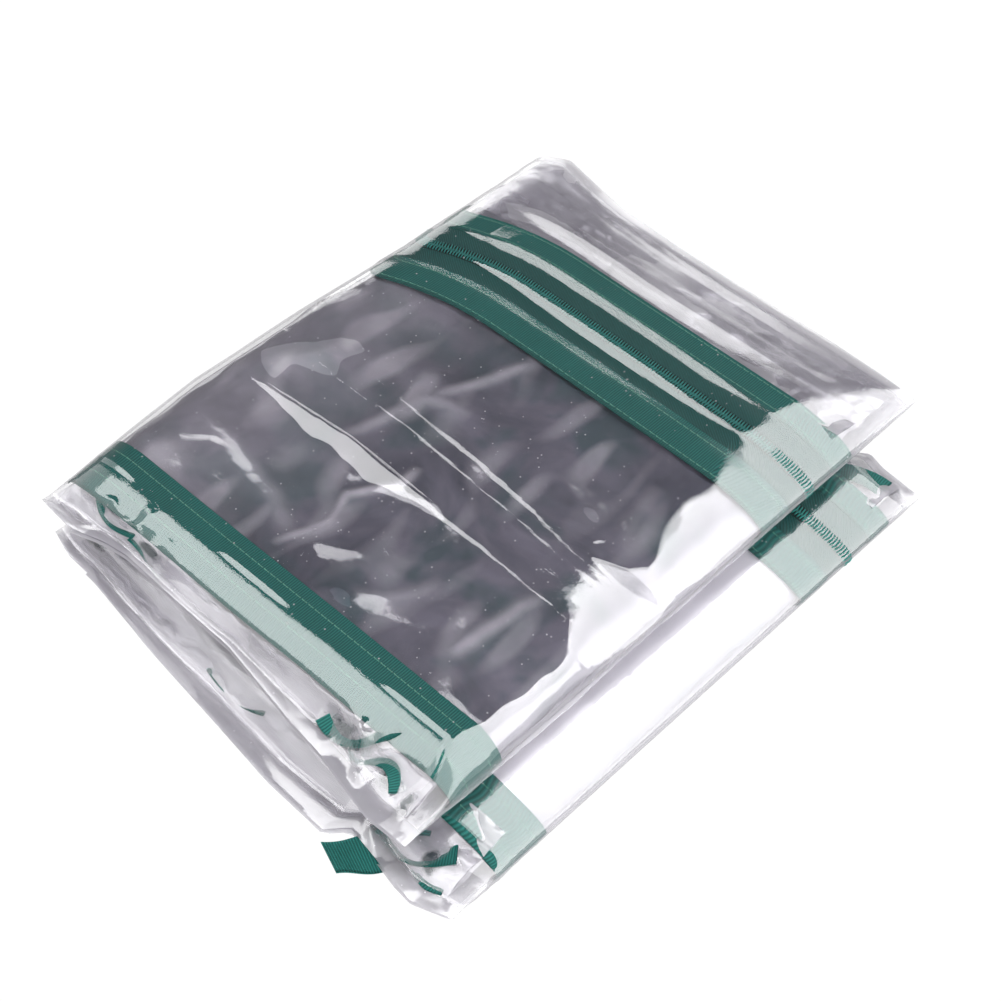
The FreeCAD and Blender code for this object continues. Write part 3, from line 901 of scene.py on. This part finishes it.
def leaf_core(packet, upper_side, seed):
    """The folded plies of one leaf, as a closed body inside the film."""
    low = SEAM[0] + 12
    high = SURROUND[1] - 1
    path = section_path(packet, {"spine": 8, "top": 150, "nose": 24, "under": 90})
    rows = path[path[:, 2] >= 0.0] if upper_side else path[path[:, 2] <= 0.0]
    y = np.arange(low, high, 2.0)
    s = unrolled(packet, rows, y)
    relief, haze = plies_surface(packet, s, y[None, :], seed)
    turn = packet["nose"] - (1 - ROLL_SEEN) * nose_reach(packet, y[None, :])
    if not upper_side:
        pale = smooth(rows[:, 0] + rows[:, 1], packet["nose"] - 50, packet["nose"] - 40)[:, None] + 0.0 * s
    elif packet is UPPER:
        # Painted light: from just past the line where the roll takes the light, the plies under the upper
        # nose are painted pale beneath its white reflection.
        pale = 0.48 * smooth(s, turn + 1, turn + 7)
    else:
        pale = smooth(s, packet["nose"] - 62, packet["nose"] - 54)
        # Painted shade: past the upper packet's nose, the lower packet's plies are painted darker for the
        # soft shade beside the seam.
        pale = pale * (1 - 0.62 * smooth(s, UPPER["nose"] - 5, UPPER["nose"] + 4))
    macro = top_macro(s, y[None, :]) if packet is UPPER and upper_side else 0.0
    outer = skin(packet, rows, y, -4.2 + 0.7 * relief + macro)
    inner = outer.copy()
    leaf, body, side = half_of(packet, upper_side)
    gap = PLIES_GAP * side
    inner[..., 2] = packet["plane"] + gap
    limit = np.maximum if upper_side else np.minimum
    outer[..., 2] = limit(outer[..., 2], packet["plane"] + 2.5 * gap)
    obj = slab_object(leaf + "_folded_plies", outer, inner, {"haze": haze, "pale": pale})
    obj.data.materials.append(PLIES)
    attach(obj, body)
    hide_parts(leaf + "_left_gusset", leaf + "_zip_backing", leaf + "_right_gusset")


leaf_core(UPPER, True, 41)
leaf_core(UPPER, False, 45)
leaf_core(LOWER, True, 49)
leaf_core(LOWER, False, 53)

# ---- plies and bindings in the side ends


# Hollows between the folds of the left ends, where the plies are painted dark as shade: centre, half length
# and half width
UPPER["hollows"] = [(56, -150, 11, 5), (88, -151, 8, 4), (102, -155, 4, 7), (-104, -140, 9, 4),
                    (-78, -147, 8, 4)]
LOWER["hollows"] = [(105, -167, 13, 6), (118, -157, 6, 5), (-120, -150, 10, 5)]


def end_ply(packet, upper_side, left, level, seed):
    """Crumpled clear ply between the walls of a leaf, at one of its side ends."""
    leaf, body, side = half_of(packet, upper_side)
    low, high = packet["ends"]
    x = np.linspace(packet["spine"] + 7, packet["nose"] - 9, 150)[:, None]
    y = np.linspace(low + 1.5, SEAM[0] + 14, 34) if left else np.linspace(SURROUND[1] - 3, high - 3, 48)
    y = y[None, :]
    room = packet["height"] * end_profile(packet, x, y) - 1.2
    folds = crumple(x, y, 16, 0.5, seed, 2.6) + 0.8 * ripple(x, y, 160, 12, seed + 1)
    folds = folds + crumple(x, y, 7, 0.25, seed + 2)
    rise = np.clip(level * room + folds, 0.5, np.maximum(room - 0.8, 0.7))
    # Painted shade: how far the ply is painted dark in the hollows between its folds.
    hollow_shade = 0 * rise
    for hollow_x, hollow_y, half_length, half_width in packet["hollows"]:
        hollow_shade = np.maximum(hollow_shade, ridge(x - hollow_x, half_length) * ridge(y - hollow_y, half_width))
    x, y = lay_out(packet, x + 0 * y, y + 0 * x)
    grid = grid_points(x, y, packet["plane"] + side * rise)
    obj = sheet_object("%s_%s_ply_%d" % (leaf, "left" if left else "right", seed), grid, {"hollow_shade": hollow_shade})
    obj.data.materials.append(END_PLIES)
    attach(obj, body)


for packet, upper_side, seed in ((UPPER, True, 100), (UPPER, False, 130),
                                 (LOWER, True, 160), (LOWER, False, 190)):
    for left in (True, False):
        for number, level in enumerate((0.8, 0.4)):
            end_ply(packet, upper_side, left, level, seed + 10 * number + (0 if left else 5))


def ribbon(name, centre, across_dir, width, body, thickness=TAPE_THICKNESS):
    """Woven tape along a centre line; across_dir gives the direction over its width at each point."""
    along = arc_length(centre)
    across_dir = unit(across_dir)
    normal = unit(np.cross(np.gradient(centre, axis=0), across_dir))
    places = np.linspace(-0.5, 0.5, 12) * width
    top = centre[:, None, :] + across_dir[:, None, :] * places[None, :, None]
    bottom = top - normal[:, None, :] * thickness
    fields = {"along": np.broadcast_to(along[:, None], top.shape[:2]),
              "across": np.broadcast_to(places[None, :], top.shape[:2])}
    obj = slab_object(name, top, bottom, fields)
    obj.data.materials.append(TAPE)
    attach(obj, body)
    return obj


def curl(name, packet, start, length, heading, depth, twist, width, seed):
    """Piece of side binding folded in under the film of a side end."""
    random = np.random.RandomState(seed)
    t = np.linspace(0, 1, 30)
    bend = math.radians(heading) + twist * (t - 0.3)
    x = start[0] + np.cumsum(np.cos(bend)) * length / 30
    y = start[1] + np.cumsum(np.sin(bend)) * length / 30
    room = packet["height"] * end_profile(packet, x, y)
    rise = np.clip(room - depth + 0.8 * np.sin(t * 7 + random.uniform(0, 3)), 1.0, None)
    tilt = 0.5 * np.sin(3 * t + random.uniform(0, 3))
    flat_x, flat_y = lay_out(packet, x, y)
    centre = np.stack([flat_x, flat_y, packet["plane"] + rise], axis=-1)
    across_dir = np.stack([-np.sin(bend), np.cos(bend), 0.35 * np.sin(tilt)], axis=-1)
    ribbon(name, centre, across_dir, width, packet["bodies"][0])


# Packet, start, length, heading, depth below the film, twist and width of each piece
CURLS = [
    (UPPER, (-120, -136), 34, -28, 3.4, 1.2, 7),
    (UPPER, (-92, -146), 30, -12, 4.2, -0.8, 6),
    (UPPER, (44, -150), 38, 8, 1.7, 1.5, 10),
    (UPPER, (66, -156), 34, 26, 1.8, -1.6, 9),
    (LOWER, (84, -160), 44, 4, 3.0, 0.9, 10),
    (LOWER, (104, -150), 30, -38, 3.4, 1.4, 9),
    (LOWER, (-30, -156), 40, -4, 4.0, 0.5, 5),
    (LOWER, (96, 120), 40, 40, 3.4, -0.9, 12),
]
for number, settings in enumerate(CURLS):
    curl("side_binding_" + "abcdefgh"[number], *settings, number + 1)


def strap():
    """Tail of side binding that sticks out between the lower leaves."""
    t = np.linspace(0, 1, 60)
    start, end = np.array([80.5, -184.5]), np.array([112.0, -150.0])
    centre = start[None, :] + t[:, None] * (end - start)[None, :]
    sway = 1.4 * np.sin(5.2 * t + 0.4)
    heading = (end - start) / np.linalg.norm(end - start)
    side = np.array([heading[1], -heading[0]])
    centre = centre + side[None, :] * sway[:, None]
    z = 10.2 + 3.9 * smooth(t, 0.15, 0.6) + 0.9 * np.sin(9 * t) * (1 - t)
    centre = np.column_stack([centre, z])
    slant = side + 0.375 * heading
    across_dir = np.column_stack([np.full(60, slant[0]), np.full(60, slant[1]), 0.22 * np.sin(8 * t + 1)])
    obj = ribbon("strap_tail", centre, across_dir, 19.0, "bottom_leaf", 0.9)
    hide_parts("binding_tail")


strap()


# ---- stitching

STITCH, STITCH_PITCH = 3.2, 4.2


def stitches(packet, name, lines, bent, macro):
    """Running stitches that lie on the tapes, just under the film."""
    path = section_path(packet, {"spine": 10, "top": 140, "nose": 60, "under": 80})
    points, faces = [], []
    over = np.clip(path[:, 2], 0, 1)
    for y in lines:
        line = skin(packet, path, np.array([y]), -0.62)[:, 0, :]
        s = unrolled(packet, path, np.array([y]))[:, 0]
        line[:, 2] += macro(s, np.full(len(s), float(y))) * over
        if bent:
            line[:, 1] -= bend_shift(path[:, 0] + path[:, 1]) * over
        length = arc_length(line)
        for start in np.arange(2, length[-1] - STITCH, STITCH_PITCH):
            marks = start + np.array([0.0, 0.12, 0.5, 0.88, 1.0]) * STITCH
            lift = np.array([-0.25, 0.12, 0.2, 0.12, -0.25])
            core = np.stack([np.interp(marks, length, line[:, k]) for k in range(3)], axis=-1)
            ahead = core[-1] - core[0]
            up = np.cross(ahead, [0, 1, 0])
            up = -up / np.linalg.norm(up)
            core = core + up[None, :] * lift[:, None]
            ring = np.array([[0.3, 0.0], [0.0, 0.22], [-0.3, 0.0], [0.0, -0.22]])
            tube = core[:, None, :] + ring[None, :, 0:1] * np.array([0, 1.0, 0]) + ring[None, :, 1:2] * up
            base = sum(len(p) for p in points)
            index = np.arange(20).reshape(5, 4) + base
            faces += [tube_faces(index), index[0][None, ::-1], index[-1][None, :]]
            points.append(tube.reshape(-1, 3))
    obj = make_object(packet["name"] + "_" + name, np.concatenate(points), np.concatenate(faces))
    obj.data.materials.append(THREAD)
    at_nose(obj)


for packet, macro in ((UPPER, top_macro), (LOWER, no_macro)):
    stitches(packet, "seam_stitches", (SEAM[1] - 6.5, SEAM[1] - 21.0), False, macro)
    stitches(packet, "door_stitches",
             (DOOR[0] + 2.5, DOOR[1] - 3.5, SURROUND[0] + 3.0, SURROUND[1] - 2.0), packet is UPPER, macro)

# ---- rear walls


def rear_film(name, grid, bodies, nodes):
    obj = sheet_object(name, grid)
    obj.data.materials.append(INNER_FILM)
    if len(bodies) == 2:
        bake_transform(obj)
    else:
        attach(obj, bodies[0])
    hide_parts(*nodes)


def flat_rear(packet, upper_side):
    """Rear wall of an outer leaf."""
    leaf, body, side = half_of(packet, upper_side)
    x = np.linspace(packet["spine"] + 3, packet["nose"] - 3, 90)[:, None]
    y = np.linspace(packet["ends"][0] + 1, packet["ends"][1] - 1, 110)[None, :]
    z = packet["plane"] + side * (0.2 + 0.05 * ripple(x, y, 50, 40, 61))
    x, y = lay_out(packet, x + 0 * y, y + 0 * x)
    rear_film(leaf + "_rear_film", grid_points(x, y, z), [body], [leaf + "_rear_wall"])


def spine_film():
    """Rear wall that runs from one inner leaf to the other round the spine fold."""
    upper_z = UPPER["plane"] - 0.2
    lower_z = LOWER["plane"] + 0.2
    radius = 0.5 * (upper_z - lower_z)
    rows = [(x, upper_z) for x in np.linspace(UPPER["nose"] - 4, SPINE[0] + 16, 60)]
    rows += [(SPINE[0] + 16 - 16 * math.sin(a), SPINE[2] + radius * math.cos(a))
             for a in np.linspace(0, math.pi, 42)[1:-1]]
    rows += [(x, lower_z) for x in np.linspace(SPINE[0] + 16, LOWER["nose"] - 4, 60)]
    rows = np.array(rows)
    y = np.linspace(SEAM[0] - 6, LOWER["ends"][1] - 2, 180)[None, :]
    ahead, level = rows[:, 0][:, None], rows[:, 1][:, None]
    dents = 0.8 * np.clip(ripple(level, y, 20, 60, 65), -1, 1)
    x = ahead - dents * (ahead < SPINE[0] + 14)
    rear_film("spine_wrap_film", grid_points(x, y, level), ["upper_inner_leaf", "lower_inner_leaf"],
              ["upper_inner_rear_wall", "lower_inner_rear_wall"])


flat_rear(UPPER, True)
flat_rear(LOWER, False)
spine_film()

# ---- zip coil


def coil_line(packet):
    """Centre line of the zip on a packet, over the top, round the nose and back below."""
    path = section_path(packet, {"spine": 10, "top": 160, "nose": 60, "under": 160})
    line = skin(packet, path, np.array([ZIP_Y]), -0.9)[:, 0, :]
    over = np.clip(path[:, 2], 0, 1)
    if packet is UPPER:
        line[:, 1] -= bend_shift(line[:, 0]) * over
        line[:, 2] += top_macro(path[:, 3], np.full(len(path), ZIP_Y)) * over
    return line


def coil(packet):
    """The two nylon coils of the zip, as wires wound half a turn apart."""
    line = coil_line(packet)
    length = arc_length(line)
    pitch, per_turn, wire, sides = 1.6, 12, 0.42, 6
    count = (int(length[-1] / pitch) - 1) * per_turn
    points, faces = [], []
    for half, direction in ((0, 1), (1, -1)):
        t = np.arange(count) / per_turn + 0.5 * half
        centre = np.stack([np.interp(t * pitch, length, line[:, k]) for k in range(3)], axis=-1)
        ahead = unit(np.gradient(centre, axis=0))
        side = unit(np.cross(ahead, [0, 1, 0]))
        across = np.cross(side, ahead)
        angle = 2 * math.pi * t
        ring = centre + across * (direction * (1.35 + 1.75 * np.cos(angle)))[:, None]
        ring = ring + side * (0.75 * np.sin(angle))[:, None]
        tangent = unit(np.gradient(ring, axis=0))
        first = np.cross(tangent, [0.0, 0.0, 1.0])
        first /= np.maximum(np.linalg.norm(first, axis=1), 1e-6)[:, None]
        second = np.cross(tangent, first)
        start = sum(len(p) for p in points)
        turn = np.linspace(0, 2 * math.pi, sides, endpoint=False)
        tube = ring[:, None, :] + wire * (np.cos(turn)[None, :, None] * first[:, None, :]
                                          + np.sin(turn)[None, :, None] * second[:, None, :])
        points.append(tube.reshape(-1, 3))
        index = np.arange(count * sides).reshape(count, sides) + start
        faces.append(tube_faces(index))
    obj = make_object(packet["name"] + "_zip_coils", np.concatenate(points), np.concatenate(faces))
    obj.data.materials.append(COIL)
    at_nose(obj)
    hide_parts(*packet_nodes(packet, ("zip_coils",)))


coil(UPPER)
coil(LOWER)

# ---- hem bindings


def hem(packet, upper_side):
    """Tape folded round the free hem of an outer leaf."""
    leaf, body, side = half_of(packet, upper_side)
    start = packet["spine" if upper_side else "under_spine"] + 10.0
    y = np.linspace(SEAM[0], SURROUND[1], 150)[None, :]
    bend = np.linspace(0, math.pi, 9)[1:-1]
    turn = np.concatenate([np.linspace(14, 2, 9), 2 - 2 * np.sin(bend), np.linspace(2, 14, 9)])[:, None]
    level = np.concatenate([np.full(9, 3.4), 2.4 + np.cos(bend), np.full(9, 1.4)])[:, None]
    bow = follow(packet["bow"], y)
    layers = []
    for swell in (0.0, 0.7):
        x = start + turn - bow + 0.6 * np.sin(y / 19.0)
        z = packet["plane"] + side * (level + np.sign(level - 2.4) * swell * 0.6 + 0.3 * np.sin(y / 27.0))
        layers.append(grid_points(x - swell * (turn < 2.1), y + 0 * x, z))
    along = layers[0][..., 1]
    across = np.broadcast_to(turn, along.shape)
    obj = slab_object(leaf + "_hem", *layers, {"along": along, "across": across})
    obj.data.materials.append(TAPE)
    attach(obj, body)
    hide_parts(leaf + "_hem_binding")


hem(UPPER, True)
hem(LOWER, False)

# ---- CAD pieces that stay

for node in ("zip_slider", "zip_pull_tab"):
    obj = frame["nodes"][node]
    obj.data.materials.clear()
    obj.data.materials.append(SLIDER)

# ---- stage, light and camera


def direction(azimuth, elevation):
    """Unit vector towards an azimuth from -Y (clockwise to +X) and an elevation, in degrees."""
    a, e = math.radians(azimuth), math.radians(elevation)
    return Vector((math.sin(a) * math.cos(e), -math.cos(a) * math.cos(e), math.sin(e)))


def aim(obj, target):
    obj.rotation_euler = (target - obj.location).to_track_quat("-Z", "Y").to_euler()


def card(name, centre, facing, size, radiance, mirrored=True):
    """Flat lamp; radiance is what its face shows. It is seen in reflections only, or lights surfaces only."""
    light = bpy.data.lights.new(name, "AREA")
    light.shape = "RECTANGLE"
    light.size, light.size_y = size
    light.energy = 4.0 * radiance * size[0] * size[1]
    obj = bpy.data.objects.new(name, light)
    obj.location = centre
    obj.rotation_euler = Vector(facing).to_track_quat("-Z", "Y").to_euler()
    bpy.context.scene.collection.objects.link(obj)
    obj.visible_glossy = mirrored
    obj.visible_diffuse = not mirrored


FLOOR_HALF = 6.0                # half width of the floor, in metres
FLOOR_DROP = 0.0006             # it lies this far below the model, in metres


def stage():
    """White floor, and the pale light that comes from everywhere."""
    mesh = bpy.data.meshes.new("floor")
    half = FLOOR_HALF
    corners = [(-half, -half, 0), (half, -half, 0), (half, half, 0), (-half, half, 0)]
    mesh.from_pydata(corners, [], [(0, 1, 2, 3)])
    floor = bpy.data.objects.new("floor", mesh)
    floor.location.z = -FLOOR_DROP
    bpy.context.scene.collection.objects.link(floor)
    material, tree = new_material("floor_paper")
    glow = add(tree, "ShaderNodeEmission", Color=(1.0, 1.0, 1.0, 1.0), Strength=1.03)
    surface(tree, glow)
    mesh.materials.append(material)
    world = bpy.data.worlds.new("studio")
    world.use_nodes = True
    background = world.node_tree.nodes["Background"]
    background.inputs["Color"].default_value = (0.95, 0.93, 1.0, 1.0)
    background.inputs["Strength"].default_value = 0.10
    bpy.context.scene.world = world


CAMERA_AZIMUTH = 44.0
CAMERA_ELEVATION = 49.8
CAMERA_DISTANCE = 1.092
CAMERA_TARGET = Vector((-0.012, 0.018, 0.0))
FOCAL_IN_WIDTHS = 2200.0 / 1001.0


def camera():
    data = bpy.data.cameras.new("camera")
    data.sensor_width = 36.0
    data.lens = FOCAL_IN_WIDTHS * data.sensor_width
    obj = bpy.data.objects.new("camera", data)
    obj.location = CAMERA_TARGET + direction(CAMERA_AZIMUTH, CAMERA_ELEVATION) * CAMERA_DISTANCE
    bpy.context.scene.collection.objects.link(obj)
    aim(obj, CAMERA_TARGET)
    bpy.context.scene.camera = obj


stage()
camera()

# Radiance of the tent's panels
REFLECTED = 5.7
REFLECTED_LEFT = 5.0
REFLECTED_SIDE = 2.8            # right panels, towards -Y
REFLECTED_LOW = 1.4             # left and near panels
REFLECTED_SILL = 1.8
REFLECTED_GLOW = 2.6            # panel low down in the dark corner
SILL = 0.85                     # the right and far walls are dim up to this height
TENT = 2.2                      # half width of the light tent, in metres
TENT_TOP = 2.0                  # height of its roof
DARK_X, DARK_Y = -0.36, 0.42    # its roof is open beyond these, towards -X and +Y
BRIGHT_Y = -0.9                 # on the left the roof is dim from here on, towards -Y


def tent():
    """White panels all round, seen only in reflections, with the far corner left dark."""
    top, side = TENT_TOP, TENT
    upper, lower = 0.5 * (top + SILL), 0.5 * SILL
    right_x, left_x = 0.5 * (side + DARK_X), 0.5 * (DARK_X - side)
    right, left = side - DARK_X, side + DARK_X
    down = (0, 0, -1)
    for part, near, far, shade in (("near", -side, 0.0, REFLECTED_SIDE), ("far", 0.0, side, REFLECTED)):
        middle = 0.5 * (near + far)
        card("roof_right_" + part, (right_x, middle, top), down, (right, far - near), shade)
        card("wall_right_" + part, (side, middle, upper), (-1, 0, 0), (far - near, top - SILL), shade)
    card("roof_left", (left_x, 0.5 * (DARK_Y + BRIGHT_Y), top), down, (left, DARK_Y - BRIGHT_Y),
         REFLECTED_LEFT)
    card("roof_near", (left_x, 0.5 * (BRIGHT_Y - side), top), down, (left, side + BRIGHT_Y), REFLECTED_LOW)
    card("wall_right_low", (side, 0, lower), (-1, 0, 0), (2 * side, SILL), REFLECTED_SILL)
    card("wall_far", (right_x, side, upper), (0, -1, 0), (right, top - SILL), REFLECTED)
    card("wall_far_low", (right_x, side, lower), (0, -1, 0), (right, SILL), REFLECTED_SILL)
    card("wall_left", (-side, 0.5 * (DARK_Y - side), 0.62 * top), (1, 0, 0), (side + DARK_Y, 0.76 * top),
         REFLECTED_LOW)
    card("wall_near", (-0.4 * side, -side, 0.7 * top), (0, 1, 0), (1.2 * side, 0.6 * top), REFLECTED_LOW)
    card("glow_far", (-0.62 * side, 0.72 * side, 0.42), (1, -1, 0), (1.6, 0.8), REFLECTED_GLOW)


tent()
card("overhead", (0.3, -0.3, 1.6), (-0.15, 0.15, -1), (1.5, 1.5), 2.2, False)
card("fill_right", (1.2, -0.4, 0.8), (-1.2, 0.3, -0.75), (1.5, 1.0), 3.6, False)
card("fill_left", (-0.1, -1.4, 0.42), (0, 1, -0.2), (1.6, 0.7), 2.2, False)

scene = bpy.context.scene
scene.view_settings.view_transform = "Standard"
scene.cycles.transparent_max_bounces = 40
scene.cycles.max_bounces = 10
scene.cycles.glossy_bounces = 5
